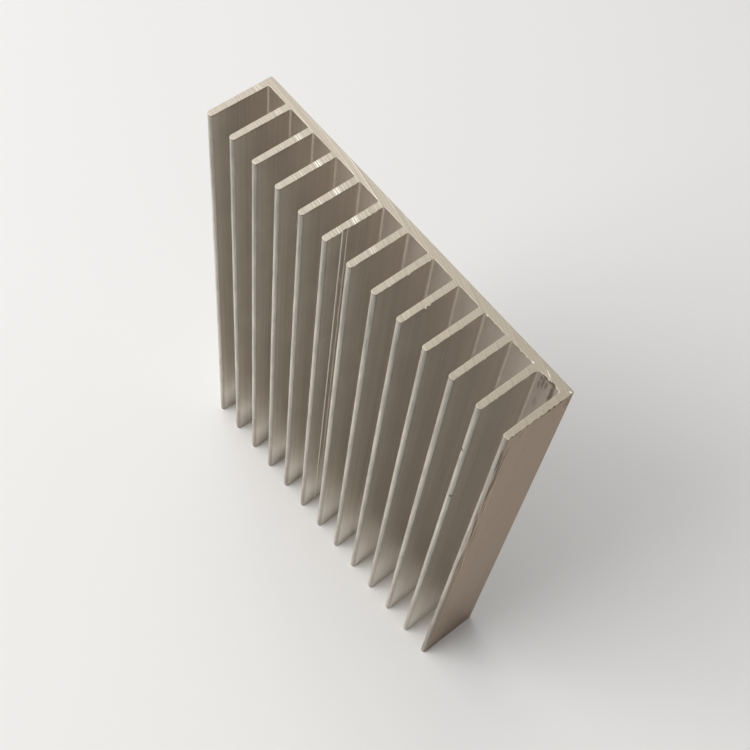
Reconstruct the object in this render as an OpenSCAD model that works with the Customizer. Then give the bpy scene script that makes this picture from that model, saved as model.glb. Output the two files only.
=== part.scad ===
// Comb-shaped aluminium heat sink, extruded in one piece and sawn to length.
// It stands on one sawn end: the bar runs up along Z, the fin tips face -Y and
// the flat back of the base plate faces +Y. The origin is the middle of the
// lower end.

/* [Overall] */
// Length that the bar is sawn to
sink_length = 140; // [20:1:400]
// Depth from the fin tips to the flat back
sink_depth = 18; // [12:0.5:40]

/* [Base plate] */
// Thickness of the base plate between the fins
base_t = 2.2; // [1.5:0.1:6]
// Radius along the two long back edges
back_edge_r = 0.4; // [0.1:0.1:1]

/* [Fins] */
// Number of fins
fin_count = 13; // [6:1:16]
// Distance from the middle of one fin to the middle of the next
fin_pitch = 8.2; // [6.4:0.1:14]
// Thickness of a fin at its tip
fin_tip_t = 1.6; // [1:0.1:2.5]
// Thickness of a fin at its root
fin_root_t = 1.8; // [1:0.1:3]
// Radius on the two long corners of a fin's tip, which a thin fin limits
tip_r = 0.6; // [0.1:0.05:0.9]

/* [Roots] */
// Radius between a fin and the floor of a channel
root_r = 0.4; // [0.2:0.05:1.5]

/* [Die lines] */
// The fin whose +X flank carries two raised lines
die_line_fin = 6; // [1:1:6]
// Distance of the stronger line from the tip of that fin
die_line_from_tip = 4.6; // [1:0.1:8]
// Distance from the stronger line to the weaker one
die_line_gap = 1.4; // [0.8:0.1:2]
// Width across the crest of each line
die_line_w = 0.2; // [0.1:0.05:0.5]
// Height of the stronger line, which is twice the height of the weaker one
die_line_h = 0.14; // [0.06:0.02:0.3]

/* [Hidden] */
mill_aluminium = "#A59C8E";
$fn = 96;

sink_w = (fin_count - 1) * fin_pitch + fin_root_t;
tip_y = -sink_depth / 2;
back_y = sink_depth / 2;
root_y = back_y - base_t;
half_gap_tip = (fin_pitch - fin_tip_t) / 2;
half_gap_root = (fin_pitch - fin_root_t) / 2;
die_line_slope = 2;
tip_round = min(tip_r, 0.45 * fin_tip_t);
past = 1;

// Middle of fin number i, counted from 1 at the -X side
function fin_x(i) = (i - (fin_count + 1) / 2) * fin_pitch;

// The bar before its channels are opened: the outer flanks of the end fins
// slope as the inner ones do, and four long corners are round
module bar_outline() {
    side_x = sink_w / 2;
    tip_side_x = fin_x(fin_count) + fin_tip_t / 2;
    polygon([
        [-tip_side_x + tip_round, tip_y], [tip_side_x - tip_round, tip_y],
        [tip_side_x, tip_y + tip_round], [side_x, root_y],
        [side_x, back_y - back_edge_r], [side_x - back_edge_r, back_y],
        [-side_x + back_edge_r, back_y], [-side_x, back_y - back_edge_r],
        [-side_x, root_y], [-tip_side_x, tip_y + tip_round]
    ]);
    for (side = [-1, 1]) {
        translate([side * (tip_side_x - tip_round), tip_y + tip_round]) circle(r = tip_round);
        translate([side * (side_x - back_edge_r), back_y - back_edge_r])
            circle(r = back_edge_r);
    }
}

// The open space between two fins: a mouth whose edges are the round tips, then
// flanks that close in towards the root, and fillets into the floor
module channel() {
    round_y = tip_y + tip_round;
    mouth_x = half_gap_tip + tip_round;
    fillet_x = half_gap_root - root_r;
    fillet_y = root_y - root_r;
    difference() {
        translate([-mouth_x, tip_y - past]) square([2 * mouth_x, past + tip_round]);
        for (side = [-1, 1])
            translate([side * mouth_x, round_y]) circle(r = tip_round);
    }
    polygon([
        [-half_gap_tip, tip_y - past], [half_gap_tip, tip_y - past],
        [half_gap_tip, round_y], [half_gap_root, fillet_y],
        [fillet_x, root_y], [-fillet_x, root_y],
        [-half_gap_root, fillet_y], [-half_gap_tip, round_y]
    ]);
    for (side = [-1, 1])
        translate([side * fillet_x, fillet_y]) circle(r = root_r);
}

// One raised line on the +X flank of a fin. Its sides slope, and it starts from
// inside the fin so that it is one with it.
module die_line(from_tip, height) {
    half_t = (fin_tip_t + (fin_root_t - fin_tip_t) * from_tip / (root_y - tip_y)) / 2;
    crest_x = half_t + height;
    crest_y = die_line_w / 2;
    foot_y = crest_y + crest_x / die_line_slope;
    translate([fin_x(die_line_fin), tip_y + from_tip])
        polygon([[0, -foot_y], [crest_x, -crest_y], [crest_x, crest_y], [0, foot_y]]);
}

// The section that the die gives the whole bar
module sink_section() {
    difference() {
        bar_outline();
        for (i = [1 : fin_count - 1])
            translate([fin_x(i) + fin_pitch / 2, 0]) channel();
    }
    die_line(die_line_from_tip, die_line_h);
    die_line(die_line_from_tip + die_line_gap, die_line_h / 2);
}

// The sawn bar
module heat_sink() {
    color(mill_aluminium)
        linear_extrude(height = sink_length) sink_section();
}

heat_sink();
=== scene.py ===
import math

import bmesh
import bpy
from mathutils import Matrix, Vector, noise


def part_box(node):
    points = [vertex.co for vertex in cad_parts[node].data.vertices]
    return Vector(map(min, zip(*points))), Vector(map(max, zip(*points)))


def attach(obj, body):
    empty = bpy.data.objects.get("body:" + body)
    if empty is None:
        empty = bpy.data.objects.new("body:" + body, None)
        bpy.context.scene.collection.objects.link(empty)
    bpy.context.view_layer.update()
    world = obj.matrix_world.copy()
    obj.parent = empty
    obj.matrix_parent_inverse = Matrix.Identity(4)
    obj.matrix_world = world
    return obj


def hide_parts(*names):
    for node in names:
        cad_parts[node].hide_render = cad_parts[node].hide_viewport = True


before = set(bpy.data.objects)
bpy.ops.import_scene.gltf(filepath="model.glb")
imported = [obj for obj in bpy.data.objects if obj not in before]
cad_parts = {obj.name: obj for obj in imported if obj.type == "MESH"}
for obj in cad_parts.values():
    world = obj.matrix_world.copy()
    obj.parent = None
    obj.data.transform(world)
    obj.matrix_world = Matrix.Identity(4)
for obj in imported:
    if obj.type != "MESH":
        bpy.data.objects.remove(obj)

bl_info = {
    "name": "Extruded heat sink",
    "version": (1, 0, 0),
    "blender": (4, 5, 0),
    "location": "3D View > Sidebar > Heat sink",
    "description": "Models a sawn aluminium comb heat sink and its studio",
    "category": "Add Mesh",
}

NODE = "heat_sink"
PIECE = "heat_sink_bar"
MM = 0.001
LOW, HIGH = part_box(NODE)
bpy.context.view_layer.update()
SAME = 2e-6  # two coordinates this close, in metres, are the same place
ACROSS_MAP = "across_lines"  # UV map whose U runs across the lines in the metal
LEVEL = 0.6  # a face whose normal has more Z than this belongs to a sawn end
FLANK_X = HIGH.x - 0.3 * MM  # past this X lies the last fin's outer flank
DIE_LINE_FIN = 5  # the fin with the raised die lines, counted from 0 at -X
SCUFF_REACH = (58, 136)  # heights in mm between which the last fin's edge is scuffed


def linear(hex_colour):
    """Turns an sRGB hex colour into the linear one that a shader takes."""
    channels = [int(hex_colour[i:i + 2], 16) / 255 for i in (1, 3, 5)]
    return tuple(
        c / 12.92 if c <= 0.04045 else ((c + 0.055) / 1.055) ** 2.4 for c in channels
    )


# ---------------------------------------------------------------- sizes and colours


def length(name, description, default):
    """One size in metres, given in millimetres."""
    return bpy.props.FloatProperty(
        name=name, description=description, default=default * MM,
        subtype="DISTANCE", unit="LENGTH", precision=5,
    )


def colour(name, description, default):
    """One linear colour, given as sRGB hex."""
    return bpy.props.FloatVectorProperty(
        name=name, description=description, default=linear(default),
        subtype="COLOR", size=3, min=0, max=1,
    )


class HeatSinkSection(bpy.types.PropertyGroup):
    """Sizes of the section that the die gives the bar."""

    fin_count: bpy.props.IntProperty(
        name="Fins", description="Number of fins", default=13, min=6, max=16
    )
    fin_pitch: length("Fin pitch", "Middle of one fin to the middle of the next", 8.2)
    fin_tip_t: length("Fin tip", "Thickness of a fin at its tip", 1.6)
    fin_root_t: length("Fin root", "Thickness of a fin at its root", 1.8)
    base_t: length("Base plate", "Thickness of the base plate between fins", 2.2)
    tip_r: length("Tip radius", "Radius on the long corners of a tip", 0.6)
    root_r: length("Root radius", "Radius between a fin and the channel's floor", 0.4)
    back_edge_r: length("Back radius", "Radius along the two back edges", 0.4)


class HeatSinkMarks(bpy.types.PropertyGroup):
    """Sizes of what the saw, the die and handling left on the bar."""

    burr_reach: length("Burr reach", "How far the saw's burr stands out", 0.3)
    burr_pitch: length("Burr pitch", "Distance from one burr to the next", 0.42)
    burr_rise: length("Burr rise", "Height of the burr over the sawn face", 0.06)
    die_line_from_tip: length("Die line place", "Stronger die line to the tip", 4.6)
    die_line_gap: length("Die line gap", "Stronger die line to the weaker one", 1.4)
    die_line_w: length("Die line width", "Width of a die line's crest", 0.2)
    die_line_h: length("Die line height", "Height of the stronger die line", 0.14)


class HeatSinkColours(bpy.types.PropertyGroup):
    """Colours of the finishes and the studio."""

    extruded: colour("Extruded skin", "Mill finish of the long faces", "#F6EFE5")
    sawn: colour("Sawn face", "Fresh metal of the two ends", "#DBD0C0")
    # The burr colour is also painted highlight: glints on burr folds, scratches, saw
    # strokes and the die's rough lines
    burr: colour("Burr", "Torn metal that catches the light", "#FFFAF0")
    # Painted shade on the +X outer flank: it darkens and browns the skin there and its
    # edge-on reflection
    outer_flank_shade: colour("Outer film", "Film on the +X outer flank", "#B8ACA3")
    outer_flank_shade_edge: colour("Outer film edge-on", "The same film, seen edge-on", "#E7DFD7")
    tip_film: colour("Tip film", "Film on the fin tips and the back", "#FDFAF6")
    # Darkens and greys the floors of the channels
    channel_floor_tint: colour("Channel film", "Film on the floors of the channels", "#ECE8E8")
    # Used for dried oil and grime, and as painted shade
    stain_and_shade: colour("Stain", "Oil and dirt dried on the metal", "#6E5C48")
    floor: colour("Floor", "The plain floor", "#F4F3F1")


class HeatSinkStudio(bpy.types.PropertyGroup):
    """Where the camera stands and how bright the lamps are."""

    azimuth: bpy.props.FloatProperty(
        name="Azimuth", description="Direction that the camera looks, from +Y to +X",
        default=math.radians(-42.4395), subtype="ANGLE",
    )
    elevation: bpy.props.FloatProperty(
        name="Elevation", description="How far the camera looks down",
        default=math.radians(60.6215), subtype="ANGLE",
    )
    roll: bpy.props.FloatProperty(
        name="Roll", description="Turn of the camera about its own axis",
        default=math.radians(-9.7695), subtype="ANGLE",
    )
    distance: length("Distance", "Camera to the point that it looks at", 328.083)
    focal: bpy.props.FloatProperty(
        name="Focal length", description="Focal length on a 36 mm sensor",
        default=61.297, min=10,
    )
    world: bpy.props.FloatProperty(
        name="World", description="Strength of the even light from all round",
        default=0.33, min=0,
    )


# The scene's property for each group
GROUPS = {
    "heat_sink_section": HeatSinkSection,
    "heat_sink_marks": HeatSinkMarks,
    "heat_sink_colours": HeatSinkColours,
    "heat_sink_studio": HeatSinkStudio,
}

# ---------------------------------------------------------------- materials


def add(tree, kind, settings=None, values=None, links=None):
    """Adds one node, with its settings, its own input values and its links."""
    node = tree.nodes.new(kind)
    for name, value in (settings or {}).items():
        setattr(node, name, value)
    for key, value in (values or {}).items():
        node.inputs[key].default_value = value
    for key, source in (links or {}).items():
        if isinstance(source, bpy.types.Node):
            source = source.outputs[0]
        tree.links.new(source, node.inputs[key])
    return node


def new_material(name):
    """An empty node material and its tree."""
    material = bpy.data.materials.new(name)
    material.use_nodes = True
    material.node_tree.nodes.clear()
    return material, material.node_tree


MIX = {"data_type": "RGBA", "blend_type": "MIX"}
MULTIPLY = {"data_type": "RGBA", "blend_type": "MULTIPLY"}
SMOOTH = {"interpolation_type": "SMOOTHSTEP"}


def spread(low, high, to_low, to_high):
    """Input values of a Map Range node."""
    return {"From Min": low, "From Max": high, "To Min": to_low, "To Max": to_high}


def spot(tree, place, centre, half, turn, strength):
    """Mask of one soft oval in a plane: strength in its middle, 0 past its rim."""
    local = add(
        tree, "ShaderNodeMapping", {"vector_type": "TEXTURE"},
        {"Location": centre, "Rotation": turn, "Scale": half}, {0: place},
    )
    away = add(tree, "ShaderNodeVectorMath", {"operation": "LENGTH"}, links={0: local})
    return add(
        tree, "ShaderNodeMapRange", SMOOTH, spread(0.25, 1, strength, 0),
        {0: away.outputs["Value"]},
    )


# Dark spots in mm: smears of dried oil, most of them near the last channel's upper end,
# and painted shade, in a thin line under the last fin's upper outer edge, on the channel
# floors and fins' roots on the -X side near the upper end, and in a faint wide band at
# the lower end: middle, half sizes, strength
SMEARS_AND_SHADE = (
    ((45.8, 6.8, 134.5), (4.0, 0.5, 11.0), 0.12),
    ((43.9, 6.8, 137.4), (0.5, 0.5, 3.6), 0.65),
    ((43.2, 6.8, 138.1), (0.4, 0.5, 1.4), 0.6),
    ((43.1, 6.8, 135.4), (0.5, 0.5, 2.0), 0.55),
    ((44.8, 6.8, 137.1), (0.5, 0.5, 2.2), 0.6),
    ((46.5, 6.8, 136.9), (0.7, 0.5, 4.8), 0.75),
    ((46.7, 6.8, 134.2), (1.1, 0.5, 2.8), 0.5),
    ((45.2, 6.8, 139.8), (2.4, 0.5, 1.0), 0.85),
    ((43.0, 6.8, 140.0), (1.4, 0.5, 0.8), 0.6),
    ((43.7, 6.8, 128.5), (0.8, 0.5, 3.0), 0.25),
    ((50.1, 7.6, 137.0), (1.0, 1.1, 2.6), 0.6),
    ((50.1, -5.0, 137.5), (1.0, 0.9, 1.6), 0.3),
    # Painted shade under the last fin's upper outer edge
    ((50.1, 4.0, 139.8), (0.6, 6.0, 0.7), 0.6),
    ((50.2, -8.5, 60.0), (0.9, 1.0, 95.0), 0.35),
    # Painted shade: a faint wide band along the lower end, where the bar meets the floor
    ((-40.0, 0.0, 0.0), (75.0, 60.0, 12.0), 0.3),
    # Painted shade on the channel floors and fins' roots on the -X side, near the upper
    # end
    ((-48.0, 6.8, 138.0), (34.0, 0.6, 16.0), 0.2),
)

# How far noise moves the rim of each dark spot, in mm
SMEAR_SHIFT = Vector((0.5, 0, 1.5))


def streaks(tree, place, across, along, detail, roughness=0.6):
    """Noise drawn out along the bar: its grain across the bar and along it."""
    drawn = add(
        tree, "ShaderNodeMapping", links={0: place},
        values={"Scale": (1 / across, 1 / across, 1 / along)},
    )
    return add(
        tree, "ShaderNodeTexNoise", links={"Vector": drawn},
        values={"Scale": 1, "Detail": detail, "Roughness": roughness},
    )


def striped_skin(tree, place, split, colours):
    """Colour of the bare skin, and the die lines and the clouds that vary it."""
    # Die lines are about 0.05 mm apart; they are drawn 0.4 mm apart, to show
    lines = streaks(tree, place, 0.40 * MM, 120 * MM, 3)
    # Wider bands, as the die wears unevenly
    bands = streaks(tree, place, 2.6 * MM, 500 * MM, 2)
    cloud = add(
        tree, "ShaderNodeTexNoise", links={0: place},
        values={"Scale": 1 / (7 * MM), "Detail": 4, "Roughness": 0.55},
    )
    skin = add(
        tree, "ShaderNodeMix", MULTIPLY, {0: 1, 6: (*colours.extruded, 1)},
        {7: add(
            tree, "ShaderNodeMapRange", values=spread(0.3, 0.7, 0.86, 1), links={0: lines}
        )},
    ).outputs[2]
    # The skin is a little duller towards +X
    for pattern, low, high, to_low in (
        (bands, 0.35, 0.65, 0.96), (cloud, 0.35, 0.65, 0.98),
        (split.outputs["X"], 25 * MM, -15 * MM, 0.95),
    ):
        skin = add(
            tree, "ShaderNodeMix", MULTIPLY, {0: 1},
            {6: skin, 7: add(
                tree, "ShaderNodeMapRange", values=spread(low, high, to_low, 1),
                links={0: pattern},
            )},
        ).outputs[2]
    return skin, lines, cloud


def zones(tree, split, section):
    """Masks of the bar's parts, each found by its place in the section."""
    side = add(
        tree, "ShaderNodeMath", {"operation": "ABSOLUTE"}, links={0: split.outputs["X"]}
    )
    # The +X outer flank, which gets painted shade
    outer, shaded_outer_flank = (
        add(
            tree, "ShaderNodeMapRange", SMOOTH,
            spread(HIGH.x - 0.5 * MM, HIGH.x - 0.15 * MM, 0, 1), {0: across},
        )
        for across in (side, split.outputs["X"])
    )
    floor_y = HIGH.y - section.base_t
    tips, back, floors = (
        add(
            tree, "ShaderNodeMapRange", SMOOTH, spread(low, high, to_low, 1 - to_low),
            {0: split.outputs["Y"]},
        )
        for low, high, to_low in (
            (LOW.y + 0.1 * MM, LOW.y + 0.6 * MM, 1),
            (HIGH.y - 0.3 * MM, HIGH.y - 0.1 * MM, 0),
            (floor_y - 0.15 * MM, floor_y - 0.05 * MM, 0),
        )
    )
    inside = add(tree, "ShaderNodeMath", {"operation": "SUBTRACT"}, {0: 1}, {1: outer})
    floors = add(
        tree, "ShaderNodeMath", {"operation": "MULTIPLY"}, links={0: floors, 1: inside}
    )
    return {
        "shaded_outer_flank": shaded_outer_flank, "tips": tips, "back": back, "floors": floors, "inside": inside
    }


def films_and_shade(tree, skin, zone, colours):
    """Tints on the skin: painted shade on the +X outer flank, a grey tint on the channel
    floors, and a thin near-white film on the tips and the back.
    """
    for part, film in (
        ("shaded_outer_flank", colours.outer_flank_shade), ("tips", colours.tip_film),
        ("back", colours.tip_film), ("floors", colours.channel_floor_tint),
    ):
        skin = add(
            tree, "ShaderNodeMix", MULTIPLY, {7: (*film, 1)}, {0: zone[part], 6: skin}
        ).outputs[2]
    return skin


def rubbed_and_shaded_tips(tree, place, split, skin, zone, section):
    """Tips rubbed by handling, with patches and fine scratches, darker near the top, and
    with painted shade on each tip's corner towards +X.
    """
    tip_darkening = [
        add(
            tree, "ShaderNodeMapRange", SMOOTH, spread(low, high, 1, dark),
            {0: streaks(tree, place, across, along, 3)},
        )
        for across, along, low, high, dark in (
            (1.1 * MM, 11 * MM, 0.40, 0.62, 0.8),
            (0.16 * MM, 7 * MM, 0.56, 0.66, 0.66),
        )
    ]
    # The last fin's tip is duller than the others, most of all at its lower end
    near_top, low_tip = (
        add(
            tree, "ShaderNodeMapRange", SMOOTH, spread(low, high, to_low, to_high),
            {0: split.outputs["Z"]},
        )
        for low, high, to_low, to_high in (
            (HIGH.z - 45 * MM, HIGH.z - 12 * MM, 1, 0.8),
            (LOW.z + 25 * MM, LOW.z + 60 * MM, 0.68, 0.85),
        )
    )
    last = add(
        tree, "ShaderNodeMath", {"operation": "GREATER_THAN"}, {1: HIGH.x - 3 * MM},
        {0: split.outputs["X"]},
    )
    tip_darkening.append(near_top)
    tip_darkening.append(add(
        tree, "ShaderNodeMix", {"data_type": "FLOAT"}, {2: 1}, {0: last, 3: low_tip}
    ))
    for rub in tip_darkening:
        skin = add(
            tree, "ShaderNodeMix", MULTIPLY, links={0: zone["tips"], 6: skin, 7: rub}
        ).outputs[2]
    # Painted shade: each tip's corner towards +X is darker than the rest of it
    corner = add(
        tree, "ShaderNodeMapRange", SMOOTH,
        spread(LOW.y + 0.45 * MM, LOW.y + 0.8 * MM, 1, 0), {0: split.outputs["Y"]},
    )
    corner = add(
        tree, "ShaderNodeMath", {"operation": "MULTIPLY"},
        links={0: corner, 1: zone["inside"]},
    )
    half_pitch = section.fin_pitch / 2
    from_middle = add(
        tree, "ShaderNodeMath", {"operation": "WRAP"}, {1: half_pitch, 2: -half_pitch},
        {0: split.outputs["X"]},
    )
    dull = add(
        tree, "ShaderNodeMapRange", SMOOTH, spread(-0.25 * MM, 0.65 * MM, 1, 0.58),
        {0: from_middle},
    )
    return add(
        tree, "ShaderNodeMix", MULTIPLY, links={0: corner, 6: skin, 7: dull}
    ).outputs[2]


def scuffed_edge(tree, place, split, skin):
    """Parallel lines scuffed along the last fin's outer edge."""
    # They lie about 0.2 mm apart; they are drawn coarser, to show
    scuffs = add(
        tree, "ShaderNodeMapRange", SMOOTH, spread(0.42, 0.58, 0.35, 1.6),
        {0: streaks(tree, place, 0.36 * MM, 18 * MM, 2, 0.5)},
    )
    scuffed = add(
        tree, "ShaderNodeMapRange", SMOOTH,
        spread(HIGH.x - 0.7 * MM, HIGH.x - 0.3 * MM, 0, 1), {0: split.outputs["X"]},
    )
    starts, ends = (LOW.z + height * MM for height in SCUFF_REACH)
    for axis, low, high, to_low in (
        ("Y", LOW.y + 1.5 * MM, LOW.y + 2.1 * MM, 1),
        ("Z", starts, starts + 14 * MM, 0),
        ("Z", ends - 3 * MM, ends, 1),
    ):
        near = add(
            tree, "ShaderNodeMapRange", SMOOTH, spread(low, high, to_low, 1 - to_low),
            {0: split.outputs[axis]},
        )
        scuffed = add(
            tree, "ShaderNodeMath", {"operation": "MULTIPLY"}, links={0: scuffed, 1: near}
        )
    return add(
        tree, "ShaderNodeMix", MULTIPLY, links={0: scuffed, 6: skin, 7: scuffs}
    ).outputs[2]


def oil_and_painted_shade(tree, place, skin, colours):
    """Dark spots with uneven rims, smears of dried cutting oil and painted shade, then the
    grime and painted shade held on the marks.
    """
    grain = add(
        tree, "ShaderNodeTexNoise", links={0: place},
        values={"Scale": 1 / (0.8 * MM), "Detail": 3, "Roughness": 0.6},
    )
    shifted = add(
        tree, "ShaderNodeVectorMath", {"operation": "MULTIPLY_ADD"},
        {1: SMEAR_SHIFT * MM}, {0: grain.outputs["Color"], 2: place},
    )
    masks = [add(tree, "ShaderNodeAttribute", {"attribute_name": "dirt_and_shade"}).outputs["Fac"]]
    for middle, half, strength in SMEARS_AND_SHADE:
        # The noise is 0.5 on average, so it shifts a smear by half of SMEAR_SHIFT
        middle = Vector(middle) + SMEAR_SHIFT / 2
        masks.append(spot(
            tree, shifted, middle * MM, Vector(half) * MM, (0, 0, 0), strength
        ))
    for mask in masks:
        skin = add(
            tree, "ShaderNodeMix", MIX, {7: (*colours.stain_and_shade, 1)}, {0: mask, 6: skin}
        ).outputs[2]
    return skin


def rough_lines_with_highlight(tree, place, split, zone, section, marks):
    """Masks of the rough lines that the die dragged along the bar, each painted with a
    highlight.
    """
    # One runs at the root of every fin
    off = add(
        tree, "ShaderNodeMath", {"operation": "SUBTRACT"},
        {1: HIGH.y - section.base_t - 0.28 * MM}, {0: split.outputs["Y"]},
    )
    off = add(tree, "ShaderNodeMath", {"operation": "ABSOLUTE"}, links={0: off})
    dragged = add(
        tree, "ShaderNodeMapRange", SMOOTH, spread(0.13 * MM, 0.22 * MM, 1, 0), {0: off}
    )
    highlight_lines = [add(
        tree, "ShaderNodeMath", {"operation": "MULTIPLY"},
        links={0: dragged, 1: zone["inside"]},
    )]
    # One runs beside each of the two raised lines
    flank_x = fin_middles(section)[DIE_LINE_FIN] + section.fin_root_t / 2
    for from_tip, strength in (
        (marks.die_line_from_tip, 0.6),
        (marks.die_line_from_tip + marks.die_line_gap, 0.3),
    ):
        highlight_lines.append(spot(
            tree, place, (flank_x, LOW.y + from_tip, HIGH.z / 2),
            (0.7 * MM, 0.42 * MM, 1), (0, 0, 0), strength,
        ))
    return highlight_lines


def extruded_aluminium(colours, section, marks):
    """Mill-finish extruded aluminium: fine lines along the bar from the die.

    They stretch reflections across the lines and leave the long faces satin.
    """
    material, tree = new_material("mill_finish_extruded_aluminium")
    place = add(tree, "ShaderNodeTexCoord").outputs["Object"]
    split = add(tree, "ShaderNodeSeparateXYZ", links={0: place})
    zone = zones(tree, split, section)
    skin, lines, cloud = striped_skin(tree, place, split, colours)
    skin = films_and_shade(tree, skin, zone, colours)
    skin = rubbed_and_shaded_tips(tree, place, split, skin, zone, section)
    skin = scuffed_edge(tree, place, split, skin)
    skin = oil_and_painted_shade(tree, place, skin, colours)
    rough = add(
        tree, "ShaderNodeMapRange", values=spread(0.3, 0.7, 0.37, 0.41), links={0: cloud}
    )
    # The die's rough lines are rougher and carry a painted highlight
    for mask in rough_lines_with_highlight(tree, place, split, zone, section, marks):
        skin = add(
            tree, "ShaderNodeMix", MIX, {7: (*colours.burr, 1)}, {0: mask, 6: skin}
        ).outputs[2]
        rough = add(
            tree, "ShaderNodeMix", {"data_type": "FLOAT"}, {3: 0.9}, {0: mask, 2: rough}
        )
    bump = add(
        tree, "ShaderNodeBump", values={"Strength": 0.3, "Distance": 0.03 * MM},
        links={"Height": lines},
    )
    tangent = add(
        tree, "ShaderNodeTangent", {"direction_type": "UV_MAP", "uv_map": ACROSS_MAP}
    )
    # Painted shade in the edge-on reflection of the +X outer flank
    edge_on = add(
        tree, "ShaderNodeMix", MIX, {6: (1, 1, 1, 1), 7: (*colours.outer_flank_shade_edge, 1)},
        {0: zone["shaded_outer_flank"]},
    ).outputs[2]
    shader = add(
        tree, "ShaderNodeBsdfPrincipled", values={"Metallic": 1, "Anisotropic": 0.7},
        links={
            "Base Color": skin, "Roughness": rough, "Specular Tint": edge_on,
            "Normal": bump, "Tangent": tangent,
        },
    )
    add(tree, "ShaderNodeOutputMaterial", links={0: shader})
    return material


# The blade's teeth left arcs of this radius, about a centre at this X
BLADE_R = 250 * MM
BLADE_X = -57.75 * MM
# Y of the blade's centre when it scored two deeper lines, and how far each of them
# lies from that arc
SCORE = -245.56 * MM
SCORE_GAP = 0.3 * MM
# Painted highlights on the upper end, one along a scratch and two where burr catches the
# light, in mm: X, Y, half length, half width, then turn in degrees and strength
SCRATCH_HIGHLIGHTS = (
    (44.0, 7.6, 1.75, 0.2, -22.6, 0.9),
    (49.6, 8.3, 0.5, 0.3, 30, 1),
    (40.1, 6.9, 0.4, 0.3, 0, 1),
)


def saw_strokes(tree, split):
    """Y of the blade's centre as it cut each point: the same all along one arc."""
    across = add(
        tree, "ShaderNodeMath", {"operation": "SUBTRACT"}, {1: BLADE_X},
        {0: split.outputs["X"]},
    )
    squared = add(tree, "ShaderNodeMath", {"operation": "POWER"}, {1: 2}, {0: across})
    under = add(
        tree, "ShaderNodeMath", {"operation": "SUBTRACT"}, {0: BLADE_R ** 2}, {1: squared}
    )
    sweep = add(tree, "ShaderNodeMath", {"operation": "SQRT"}, links={0: under})
    return add(
        tree, "ShaderNodeMath", {"operation": "SUBTRACT"},
        links={0: split.outputs["Y"], 1: sweep},
    )


def stroke_highlights(tree, split, stroke, fine):
    """Masks of painted highlights on strong single strokes and on the two scored lines."""
    # The painted highlights show most between the middle and -X
    toward, strong = (
        add(
            tree, "ShaderNodeMapRange", SMOOTH, spread(low, high, to_low, to_high),
            {0: split.outputs["X"]},
        )
        for low, high, to_low, to_high in (
            (-12 * MM, 8 * MM, 1, 0.12), (-42 * MM, -22 * MM, 0.35, 1),
        )
    )
    toward = add(
        tree, "ShaderNodeMath", {"operation": "MULTIPLY"}, links={0: toward, 1: strong}
    )
    masks = [add(
        tree, "ShaderNodeMapRange", SMOOTH, spread(0.60, 0.66, 0, 0.7), {0: fine}
    )]
    for shift in (-SCORE_GAP, SCORE_GAP):
        offset = add(
            tree, "ShaderNodeMath", {"operation": "SUBTRACT"}, {1: SCORE + shift},
            {0: stroke},
        )
        gap = add(tree, "ShaderNodeMath", {"operation": "ABSOLUTE"}, links={0: offset})
        masks.append(add(
            tree, "ShaderNodeMapRange", SMOOTH, spread(0.1 * MM, 0.22 * MM, 1, 0), {0: gap}
        ))
    return [
        add(tree, "ShaderNodeMath", {"operation": "MULTIPLY"}, links={0: mask, 1: toward})
        for mask in masks
    ]


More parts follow.
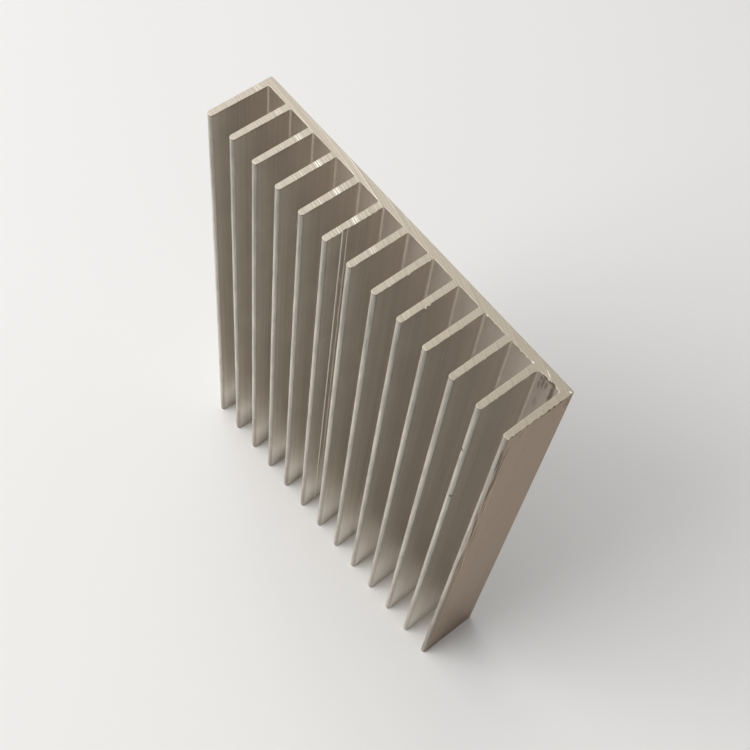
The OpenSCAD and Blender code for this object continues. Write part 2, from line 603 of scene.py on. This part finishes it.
def sawn_aluminium(colours):
    """Saw-cut aluminium: rough and pale, with arcs that the blade's teeth left.

    Each stroke catches the light by itself, so the cut looks striped. Painted highlights
    brighten some strokes, scratches and burr folds, and painted shade darkens the cut
    towards +X.
    """
    material, tree = new_material("saw_cut_aluminium")
    place = add(tree, "ShaderNodeTexCoord").outputs["Object"]
    split = add(tree, "ShaderNodeSeparateXYZ", links={0: place})
    stroke = saw_strokes(tree, split)
    # Strokes lie about 0.15 mm apart; they are drawn 0.35 mm apart, to show
    fine, coarse = (
        add(
            tree, "ShaderNodeTexNoise", {"noise_dimensions": "1D"},
            {"Scale": 1 / pitch, "Detail": 2, "Roughness": 0.6}, {"W": stroke},
        )
        for pitch in (0.35 * MM, 1.1 * MM)
    )
    grain = add(
        tree, "ShaderNodeTexNoise", links={0: place},
        values={"Scale": 1 / (0.45 * MM), "Detail": 3, "Roughness": 0.6},
    )
    cut = add(
        tree, "ShaderNodeMix", MULTIPLY, {0: 1, 6: (*colours.sawn, 1)},
        {7: add(
            tree, "ShaderNodeMapRange", values=spread(0.3, 0.7, 0.86, 1), links={0: fine}
        )},
    ).outputs[2]
    for pattern, low in ((coarse, 0.9), (grain, 0.9)):
        cut = add(
            tree, "ShaderNodeMix", MULTIPLY, {0: 1},
            {6: cut, 7: add(
                tree, "ShaderNodeMapRange", values=spread(0.35, 0.65, low, 1),
                links={0: pattern},
            )},
        ).outputs[2]
    # Painted shade: the cut is duller and yellower towards +X
    painted_falloff = add(
        tree, "ShaderNodeMapRange", values=spread(-34 * MM, 50 * MM, 0, 1),
        links={0: split.outputs["X"]},
    )
    cut = add(
        tree, "ShaderNodeMix", MULTIPLY, {7: (0.91, 0.90, 0.86, 1)}, {0: painted_falloff, 6: cut}
    ).outputs[2]
    # Painted highlights on the sawn face
    scratches = [
        spot(
            tree, place, (x * MM, y * MM, HIGH.z), (half * MM, wide * MM, 1 * MM),
            (0, 0, math.radians(turn)), strength,
        )
        for x, y, half, wide, turn, strength in SCRATCH_HIGHLIGHTS
    ]
    # Painted glint on the burr folds
    burr = add(tree, "ShaderNodeAttribute", {"attribute_name": "burr"}).outputs["Fac"]
    for mask in (*stroke_highlights(tree, split, stroke, fine), *scratches, burr):
        cut = add(
            tree, "ShaderNodeMix", MIX, {7: (*colours.burr, 1)}, {0: mask, 6: cut}
        ).outputs[2]
    # Grime and painted shade held on the marks near the sawn edge
    dirt_and_shade = add(tree, "ShaderNodeAttribute", {"attribute_name": "dirt_and_shade"}).outputs["Fac"]
    cut = add(
        tree, "ShaderNodeMix", MIX, {7: (*colours.stain_and_shade, 1)}, {0: dirt_and_shade, 6: cut}
    ).outputs[2]
    relief = add(
        tree, "ShaderNodeMath", {"operation": "MULTIPLY_ADD"}, {1: 0.4},
        {0: grain, 2: fine},
    )
    bump = add(
        tree, "ShaderNodeBump", values={"Strength": 0.35, "Distance": 0.04 * MM},
        links={"Height": relief},
    )
    tangent = add(
        tree, "ShaderNodeTangent", {"direction_type": "UV_MAP", "uv_map": ACROSS_MAP}
    )
    shader = add(
        tree, "ShaderNodeBsdfPrincipled",
        values={"Metallic": 1, "Roughness": 0.5, "Anisotropic": 0.4},
        links={"Base Color": cut, "Normal": bump, "Tangent": tangent},
    )
    add(tree, "ShaderNodeOutputMaterial", links={0: shader})
    return material


def floor_card(colours):
    """Matt pale card, which keeps the object's soft shadow."""
    material, tree = new_material("matt_floor_card")
    shader = add(
        tree, "ShaderNodeBsdfPrincipled",
        values={
            "Base Color": (*colours.floor, 1), "Roughness": 0.9,
            "Specular IOR Level": 0.2,
        },
    )
    add(tree, "ShaderNodeOutputMaterial", links={0: shader})
    return material


# ---------------------------------------------------------------- the bar


# Heights of the close rings at the two sawn ends, measured from the end
TOP_RINGS = (0.06 * MM, 0.2 * MM, 0.45 * MM)
LOW_RINGS = (0.2 * MM, 0.5 * MM)
RING_STEP = 2.0 * MM  # rings along the rest of the bar
TOP_STEP = 0.17 * MM  # edges of the upper sawn end, fine enough for its burr
LOW_STEP = 0.5 * MM
RIM = 0.16 * MM  # width of the rim that the burr bends at each sawn face
# Share of the full burr on walls that face -Y and -X, and on those where the blade's
# stroke began
FLOOR_BURR = 0.8
BACK_BURR = 0.1
FIRST_BURR = 0.45
SHARP = math.radians(32)  # edges that turn more than this stay sharp
FLAT_WEIGHT = 80  # how far the flat faces decide the shading, out of 100

# Nicks in the tips, in mm: fin from 1 at -X, height, half length, depth, side in X
# that they open to
NICKS = (
    (12, 120.2, 0.6, 0.6, -1),
    (12, 97.5, 0.45, 0.5, 1),
    (9, 64.0, 0.7, 0.16, -1),
    (5, 88.0, 0.9, 0.14, 1),
    (11, 42.0, 0.8, 0.16, 1),
)
# Folds of burr on the upper end, in mm: X, Y, reach, rise from 0 to 1 (which also sets
# the fold's painted glint), half length. A negative reach is a place where the metal tore
# out.
FOLDS = (
    (17.3, -2.4, 0.42, 0.1, 0.45),
    (17.3, -1.3, 0.32, 0.1, 0.45),
    (26.3, 6.8, 0.30, 0.9, 0.6),
    (28.6, 6.8, 0.16, 0.0, 0.5),
    (30.9, 6.8, 0.18, 0.0, 0.5),
    (36.6, 6.8, 0.22, 0.0, 0.7),
    (38.4, 6.8, 0.20, 0.0, 0.6),
    (39.9, 6.7, 0.12, 1.0, 0.4),
    (42.1, 6.4, 0.45, 0.1, 0.9),
    (43.0, 6.8, 0.28, 0.1, 0.8),
    (45.0, 6.8, 0.16, 0.9, 0.4),
    (46.1, 6.8, -0.28, 0.0, 0.8),
    (47.4, 6.8, 0.22, 0.9, 0.7),
    (48.1, 6.5, 0.35, 0.6, 0.6),
)
# Dents in the outer edge of the last fin's upper end, in mm: distance from the tip,
# depth, half length
EDGE_DENTS = (
    (1.2, 0.5, 0.4), (2.3, 0.3, 0.25), (3.2, 0.6, 0.35), (5.2, 0.35, 0.5),
    (7.3, 0.85, 0.4), (9.0, 0.35, 0.3), (11.0, 0.5, 0.5), (12.4, 0.4, 0.4),
    (14.2, 0.2, 0.5),
)
# Points across the last fin's scuffed edge: distances from the tip in mm
SCUFF_POINTS = (1.0, 1.4, 1.8)
SCUFF_DEPTH = 0.1 * MM
SCUFF_ACROSS = 0.35 * MM  # size of one scuff across the edge, and along it
SCUFF_ALONG = 9 * MM


def fin_middles(section):
    """X of the middle of every fin, from the -X side."""
    half = (section.fin_count - 1) / 2
    return [(i - half) * section.fin_pitch for i in range(section.fin_count)]


def comb_face(bm, section):
    """Draws the section as one face: a strip, with a fin pulled out of it per pitch."""
    root_y = HIGH.y - section.base_t
    last = bm.verts.new((LOW.x, HIGH.y, LOW.z))
    gap = section.fin_pitch - section.fin_root_t
    steps = [section.fin_root_t] + [gap, section.fin_root_t] * (section.fin_count - 1)
    for step in steps:
        last = bmesh.ops.extrude_vert_indiv(bm, verts=[last])["verts"][0]
        bmesh.ops.translate(bm, verts=[last], vec=(step, 0, 0))
    front = verts_of(bmesh.ops.extrude_edge_only(bm, edges=bm.edges[:])["geom"])
    bmesh.ops.translate(bm, verts=front, vec=(0, -section.base_t, 0))
    taper = section.fin_tip_t / section.fin_root_t
    for middle in fin_middles(section):
        root = [
            e for e in bm.edges
            if all(abs(v.co.y - root_y) < SAME for v in e.verts)
            and abs(e.verts[0].co.x + e.verts[1].co.x - 2 * middle) < SAME
        ]
        tip = verts_of(bmesh.ops.extrude_edge_only(bm, edges=root)["geom"])
        bmesh.ops.translate(bm, verts=tip, vec=(0, LOW.y - root_y, 0))
        bmesh.ops.scale(
            bm, verts=tip, vec=(taper, 1, 1), space=Matrix.Translation((-middle, 0, 0))
        )
    bmesh.ops.dissolve_faces(bm, faces=bm.faces[:], use_verts=False)


def verts_of(geom):
    """The vertices among what a bmesh operator made."""
    return [v for v in geom if isinstance(v, bmesh.types.BMVert)]


def raise_die_line(bm, section, marks, from_tip, height):
    """Raises one lengthwise line on the +X flank of its fin, as a rounded ridge."""
    middle = fin_middles(section)[DIE_LINE_FIN]
    at = LOW.y + from_tip
    crest = marks.die_line_w / 2
    foot = crest + height / 2
    made = []
    for y in (at - foot, at - crest, at + crest, at + foot):
        for e in bm.edges:
            low, high = sorted(e.verts, key=lambda v: v.co.y)
            if low.co.y < y < high.co.y and 0 < low.co.x - middle < section.fin_pitch / 2:
                share = (y - low.co.y) / (high.co.y - low.co.y)
                made.append(bmesh.utils.edge_split(e, low, share)[1])
                break
    if len(made) != 4:
        raise RuntimeError("A die line doesn't fit on its fin's flank")
    bmesh.ops.translate(bm, verts=made[1:3], vec=(height, 0, 0))
    bmesh.ops.bevel(
        bm, geom=made, offset=marks.die_line_w * 0.35, offset_type="OFFSET", segments=3,
        profile=0.5, affect="VERTICES", material=-1, clamp_overlap=True,
    )


def split_outer_flank(bm):
    """Gives the last fin's outer flank the points that its scuffed edge needs."""
    for from_tip in SCUFF_POINTS:
        y = LOW.y + from_tip * MM
        for e in bm.edges:
            low, high = sorted(e.verts, key=lambda v: v.co.y)
            if low.co.y < y < high.co.y and low.co.x > FLANK_X:
                share = (y - low.co.y) / (high.co.y - low.co.y)
                bmesh.utils.edge_split(e, low, share)
                break


def round_corners(bm, section):
    """Rounds the tips, the roots and the back edges while the bar is still flat."""
    root_y = HIGH.y - section.base_t
    tips = [v for v in bm.verts if abs(v.co.y - LOW.y) < SAME]
    roots = [v for v in bm.verts if abs(v.co.y - root_y) < SAME]
    roots = [v for v in roots if abs(v.co.x) < HIGH.x - SAME]
    backs = [v for v in bm.verts if abs(v.co.y - HIGH.y) < SAME]
    for corners, radius, segments in (
        (tips, section.tip_r, 7),
        (roots, section.root_r, 4),
        ([v for v in backs if abs(v.co.x) > HIGH.x - SAME], section.back_edge_r, 4),
    ):
        bmesh.ops.bevel(
            bm, geom=corners, offset=radius, offset_type="OFFSET", segments=segments,
            profile=0.5, affect="VERTICES", material=-1, clamp_overlap=False,
        )


def cut_rings(bm, heights):
    """Cuts the bar's long faces across at each height."""
    for z in heights:
        bmesh.ops.bisect_plane(
            bm, geom=bm.verts[:] + bm.edges[:] + bm.faces[:], dist=1e-8,
            plane_co=(0, 0, z), plane_no=(0, 0, 1),
        )


def split_level_edges(bm, heights, step):
    """Splits the level edges at these heights into lengths of about step."""
    groups = {}
    for e in bm.edges:
        a, b = (v.co for v in e.verts)
        if abs(a.z - b.z) < SAME and any(abs(a.z - z) < SAME for z in heights):
            cuts = math.ceil((a - b).length / step) - 1
            if cuts > 0:
                groups.setdefault(cuts, []).append(e)
    for cuts, edges in sorted(groups.items()):
        bmesh.ops.subdivide_edges(bm, edges=edges, cuts=cuts, use_grid_fill=True)


def smooth_step(low, high, value):
    """0 at low, 1 at high, eased between them."""
    share = min(max((value - low) / (high - low), 0), 1)
    return share * share * (3 - 2 * share)


def bell(value, half):
    """1 in the middle, falling to 0 at half."""
    return smooth_step(half, 0, abs(value))


def burr_at(x, y, out, marks):
    """Reach, rise and glint, both 0 to 1, of the burr at one point of the upper edge.

    The blade left the metal at the +X flanks and the channel floors, most of all
    near the +X side, where its stroke ended. Out is the way that the wall faces.
    """
    share = max(out.x, 0) + FLOOR_BURR * max(-out.y, 0) + BACK_BURR * max(-out.x, 0)
    share *= FIRST_BURR + (1 - FIRST_BURR) * smooth_step(-40 * MM, 15 * MM, x)
    place = Vector((x, y, 0)) / marks.burr_pitch
    wave = noise.noise(place) + 0.6 * noise.noise(place * 2.3 + Vector((9, 4, 7)))
    # Long stretches without burr lie between those that have it
    spots = noise.noise(place * 0.2 + Vector((3, 8, 1)))
    height = max(wave + 0.1, 0) * smooth_step(-0.4, 0.3, spots)
    reach = marks.burr_reach * share * height
    rise = min(height * share * 0.5, 1)
    glint = 0
    for fold_x, fold_y, fold_reach, fold_rise, half in FOLDS:
        gap = math.hypot(x - fold_x * MM, y - fold_y * MM)
        here = bell(gap, half * MM)
        reach += fold_reach * MM * here
        rise = max(rise, fold_rise * here)
        # The glint is a painted highlight, set by the fold's rise
        glint = max(glint, fold_rise * here)
    return reach, rise, glint


def burr_shade(x, y, out, under, bend):
    """Painted shade, 0 to 1, on the wall under the burr's overhang.

    It sits on the +X flanks, at the corners of the tips, on the last channel's floor
    and wherever the wall is cut back.
    """
    shade = 0.5 * max(out.x, 0) + 0.5 * bell(y - LOW.y - 0.3 * MM, 0.6 * MM)
    shade += 0.5 * max(-out.y, 0) * smooth_step(40 * MM, 43 * MM, x)
    if x > FLANK_X:
        shade = 0.35 + 0.65 * smooth_step(1 * MM, 3 * MM, y)
    shade = max(min(under / (0.15 * MM), 1), shade)
    return min(shade * 5 * bend * (1 - bend), 1)


def raise_burr(bm, marks):
    """Bends the burr out of the upper end and dents the last fin's outer edge.

    Where the burr would stand past the bar's box, the wall under it is cut back
    instead, so its edge still overhangs. It stores a painted glint where burr folds
    catch the light, and painted shade under the burr and in the dents.
    """
    burr_depth = max(TOP_RINGS)
    level = HIGH.z - burr_depth
    burr = bm.verts.layers.float.new("burr")
    dirt_and_shade = bm.verts.layers.float.new("dirt_and_shade")
    bm.normal_update()
    outs = {
        (round(v.co.x / SAME), round(v.co.y / SAME)): v.normal.copy()
        for v in bm.verts if abs(v.co.z - level) < SAME
    }
    for v in bm.verts:
        x, y, z = v.co
        out = outs.get((round(x / SAME), round(y / SAME)))
        if out is None or z < level - SAME:
            continue
        reach, rise, glint = burr_at(x, y, out, marks)
        bend = (z - level) / burr_depth
        room = reach
        if x > FLANK_X:
            room = HIGH.x - x
        if y < LOW.y + 0.4 * MM:
            room = min(room, y - LOW.y)
        under = max(reach - max(room, 0), 0)
        push = min(reach, room) * bend ** 2 - under * 4 * bend * (1 - bend)
        v.co.x += out.x * push
        v.co.y += out.y * push
        # Painted glint where burr folds catch the light
        v[burr] = glint
        # Painted shade under the burr
        v[dirt_and_shade] = burr_shade(x, y, out, under, bend)
        if z > HIGH.z - SAME:
            v.co.z -= marks.burr_rise * (1 - rise)
        if x > FLANK_X:
            for from_tip, depth, half in EDGE_DENTS:
                here = bell(y - LOW.y - from_tip * MM, half * MM)
                v.co.x -= depth * MM * bend * here
                # Painted shade in each dent
                v[dirt_and_shade] = max(v[dirt_and_shade], here * (1 - bend) * bend * 3)
        v.co.x = min(max(v.co.x, LOW.x), HIGH.x)
        v.co.y = min(max(v.co.y, LOW.y), HIGH.y)


def scuff_edge(bm):
    """Scrapes the last fin's outer edge along its length, and darkens it where the scrapes
    are deepest.
    """
    dirt_and_shade = bm.verts.layers.float["dirt_and_shade"]
    low, high = (LOW.z + z * MM for z in SCUFF_REACH)
    for v in bm.verts:
        x, y, z = v.co
        if x < HIGH.x - 0.4 * MM or y > LOW.y + 2 * MM or z > HIGH.z - 1 * MM:
            continue
        along = smooth_step(low - 6 * MM, low + 6 * MM, z)
        along *= 1 - smooth_step(high - 2 * MM, high, z)
        line = noise.noise(Vector((0, (y - LOW.y) / SCUFF_ACROSS, z / SCUFF_ALONG)))
        deep = max(line + 0.15, 0) * along * smooth_step(1.9 * MM, 0.3 * MM, y - LOW.y)
        v.co.x -= SCUFF_DEPTH * deep
        # Darker where the scrape is deepest
        v[dirt_and_shade] = max(v[dirt_and_shade], min(deep * 1.2, 0.6))


def cut_nicks(bm, section):
    """Pushes in the tips where something hard hit them, and darkens each nick with grime
    and painted shade.
    """
    dirt_and_shade = bm.verts.layers.float["dirt_and_shade"]
    middles = fin_middles(section)
    for fin, height, half, depth, side in NICKS:
        middle = middles[fin - 1]
        for v in bm.verts:
            near = bell(v.co.z - height * MM, half * MM)
            dark = bell(v.co.z - height * MM, 1.8 * half * MM)
            x = (v.co.x - middle) * side
            if dark > 0 and abs(x) < section.fin_pitch / 2 and v.co.y < LOW.y + 0.55 * MM:
                across = smooth_step(-0.2 * MM, 0.6 * MM, x)
                v.co.y += depth * MM * near * across
                v.co.x -= side * depth * 0.5 * MM * near * across
                # Grime and painted shade in the nick
                v[dirt_and_shade] = max(v[dirt_and_shade], min(depth * 2, 1) * dark * across)


def map_faces(bm):
    """Lays the map whose U runs across the die lines and across the saw's strokes."""
    layer = bm.loops.layers.uv.new(ACROSS_MAP)
    for face in bm.faces:
        n = face.normal
        flat = abs(n.z) > LEVEL
        for loop in face.loops:
            x, y, z = loop.vert.co
            if flat:
                loop[layer].uv = (y, x)
            elif abs(n.x) > abs(n.y):
                loop[layer].uv = (y, z)
            else:
                loop[layer].uv = (x, z)


def build_bar(section, marks):
    """Builds the bar: the section, its length, the sawn ends and the marks."""
    bm = bmesh.new()
    comb_face(bm, section)
    raise_die_line(bm, section, marks, marks.die_line_from_tip, marks.die_line_h)
    second = marks.die_line_from_tip + marks.die_line_gap
    raise_die_line(bm, section, marks, second, marks.die_line_h / 2)
    split_outer_flank(bm)
    round_corners(bm, section)
    grown = verts_of(bmesh.ops.extrude_face_region(bm, geom=bm.faces[:])["geom"])
    bmesh.ops.translate(bm, verts=grown, vec=(0, 0, HIGH.z - LOW.z))
    bmesh.ops.recalc_face_normals(bm, faces=bm.faces[:])
    heights = {HIGH.z - d for d in TOP_RINGS} | {LOW.z + d for d in LOW_RINGS}
    steps = round((HIGH.z - LOW.z) / RING_STEP)
    heights |= {LOW.z + (HIGH.z - LOW.z) * i / steps for i in range(1, steps)}
    for _, height, half, _, _ in NICKS:
        heights |= {LOW.z + (height + half * k / 4) * MM for k in range(-7, 8)}
    cut_rings(bm, sorted(heights))
    top = [HIGH.z] + [HIGH.z - d for d in TOP_RINGS]
    low = [LOW.z] + [LOW.z + d for d in LOW_RINGS]
    ends = [f for f in bm.faces if abs(f.normal.z) > 0.9]
    bmesh.ops.delete(bm, geom=ends, context="FACES_ONLY")
    split_level_edges(bm, top, TOP_STEP)
    split_level_edges(bm, low, LOW_STEP)
    rims = [e for e in bm.edges if e.is_boundary]
    ends = bmesh.ops.edgeloop_fill(bm, edges=rims)["faces"]
    if len(ends) != 2:
        raise RuntimeError("The two sawn ends don't close")
    bmesh.ops.recalc_face_normals(bm, faces=bm.faces[:])
    bmesh.ops.inset_individual(bm, faces=ends, thickness=RIM, use_even_offset=True)
    raise_burr(bm, marks)
    scuff_edge(bm)
    cut_nicks(bm, section)
    bm.normal_update()
    for face in bm.faces:
        face.smooth = True
        face.material_index = 1 if abs(face.normal.z) > LEVEL else 0
    for e in bm.edges:
        e.smooth = e.calc_face_angle(0) < SHARP
    map_faces(bm)
    return bm


# ---------------------------------------------------------------- operators


class OBJECT_OT_heat_sink_bar(bpy.types.Operator):
    """Models the sawn bar with its finish"""

    bl_idname = "object.heat_sink_bar"
    bl_label = "Sawn bar"

    def execute(self, context):
        scene = context.scene
        section = scene.heat_sink_section
        marks = scene.heat_sink_marks
        bm = build_bar(section, marks)
        mesh = bpy.data.meshes.new(PIECE)
        bm.to_mesh(mesh)
        bm.free()
        colours = scene.heat_sink_colours
        mesh.materials.append(extruded_aluminium(colours, section, marks))
        mesh.materials.append(sawn_aluminium(colours))
        piece = bpy.data.objects.new(PIECE, mesh)
        scene.collection.objects.link(piece)
        flat = piece.modifiers.new("flat faces stay flat", "WEIGHTED_NORMAL")
        flat.keep_sharp = True
        flat.weight = FLAT_WEIGHT
        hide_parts(NODE)
        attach(piece, "root")
        return {"FINISHED"}


FLOOR_R = 3.0  # radius of the floor card
FLOOR_GAP = 0.05 * MM  # the card lies this far under the bar, so they don't flicker
AIM = Vector((-1.830, 6.950, 3.583)) * MM  # what the camera looks at, from the middle
SENSOR = 36  # width of the camera's sensor in mm
NEAREST = 0.01  # what is nearer to the camera than this isn't drawn
# Soft lamps: name, azimuth and elevation in degrees as seen from the bar, distance,
# side of the square lamp, power in watts
LAMPS = (
    ("front_softbox", -150, 40, 1.6, 1.2, 17.3),
    ("side_softbox", -90, 60, 1.6, 1.2, 7.9),
)


def direction(azimuth, elevation):
    """Unit vector towards an azimuth, from +Y to +X, and a height over the floor."""
    flat = math.cos(elevation)
    return Vector((
        math.sin(azimuth) * flat, math.cos(azimuth) * flat, math.sin(elevation)
    ))


def lay_floor(scene):
    """Lays the round card that the bar stands on."""
    bm = bmesh.new()
    bmesh.ops.create_circle(bm, cap_ends=True, radius=FLOOR_R, segments=96)
    bmesh.ops.translate(bm, verts=bm.verts[:], vec=(0, 0, LOW.z - FLOOR_GAP))
    mesh = bpy.data.meshes.new("floor_card")
    bm.to_mesh(mesh)
    bm.free()
    mesh.materials.append(floor_card(scene.heat_sink_colours))
    card = bpy.data.objects.new("floor_card", mesh)
    scene.collection.objects.link(card)


def hang_lamps(scene, middle):
    """Hangs the soft lamps, turned to the middle of the bar."""
    for name, azimuth, elevation, away, side, power in LAMPS:
        light = bpy.data.lights.new(name, "AREA")
        light.shape = "SQUARE"
        light.size = side
        light.energy = power
        lamp = bpy.data.objects.new(name, light)
        towards = direction(math.radians(azimuth), math.radians(elevation))
        lamp.location = middle + towards * away
        lamp.rotation_euler = towards.to_track_quat("Z", "Y").to_euler()
        scene.collection.objects.link(lamp)


def light_all_round(scene, strength):
    """Lights the bar evenly from every side."""
    world = bpy.data.worlds.new("even_studio_light")
    world.use_nodes = True
    background = world.node_tree.nodes["Background"]
    background.inputs["Color"].default_value = (1, 1, 1, 1)
    background.inputs["Strength"].default_value = strength
    scene.world = world


def stand_camera(scene, studio, middle):
    """Stands the camera where it looks down at the upper end and the tips."""
    lens = bpy.data.cameras.new("product_camera")
    lens.sensor_width = SENSOR
    lens.lens = studio.focal
    lens.clip_start = NEAREST
    forward = -direction(studio.azimuth + math.pi, studio.elevation)
    level = forward.cross(Vector((0, 0, 1))).normalized()
    up = level.cross(forward)
    up = up * math.cos(studio.roll) + level * math.sin(studio.roll)
    turn = Matrix((forward.cross(up), up, -forward)).transposed()
    camera = bpy.data.objects.new("product_camera", lens)
    camera.location = middle + AIM - forward * studio.distance
    camera.rotation_euler = turn.to_euler()
    scene.collection.objects.link(camera)
    scene.camera = camera


class OBJECT_OT_heat_sink_studio(bpy.types.Operator):
    """Lays the floor, sets the lamps and stands the camera"""

    bl_idname = "object.heat_sink_studio"
    bl_label = "Studio"

    def execute(self, context):
        scene = context.scene
        studio = scene.heat_sink_studio
        middle = (LOW + HIGH) / 2
        lay_floor(scene)
        hang_lamps(scene, middle)
        light_all_round(scene, studio.world)
        stand_camera(scene, studio, middle)
        scene.view_settings.view_transform = "Standard"
        return {"FINISHED"}


class VIEW3D_PT_heat_sink(bpy.types.Panel):
    """Lists the steps that make the heat sink"""

    bl_label = "Heat sink"
    bl_space_type = "VIEW_3D"
    bl_region_type = "UI"
    bl_category = "Heat sink"

    def draw(self, context):
        layout = self.layout
        for name, group in GROUPS.items():
            box = layout.box()
            for key in group.__annotations__:
                box.prop(getattr(context.scene, name), key)
        for step in STEPS:
            layout.operator(step.bl_idname)


STEPS = (OBJECT_OT_heat_sink_bar, OBJECT_OT_heat_sink_studio)
CLASSES = (*GROUPS.values(), *STEPS, VIEW3D_PT_heat_sink)


def register():
    for cls in CLASSES:
        bpy.utils.register_class(cls)
    for name, group in GROUPS.items():
        setattr(bpy.types.Scene, name, bpy.props.PointerProperty(type=group))


def unregister():
    for name in GROUPS:
        delattr(bpy.types.Scene, name)
    for cls in reversed(CLASSES):
        bpy.utils.unregister_class(cls)


def main():
    """Runs the steps in order."""
    register()
    bpy.ops.object.heat_sink_bar()
    bpy.ops.object.heat_sink_studio()


if __name__ == "__main__":
    main()
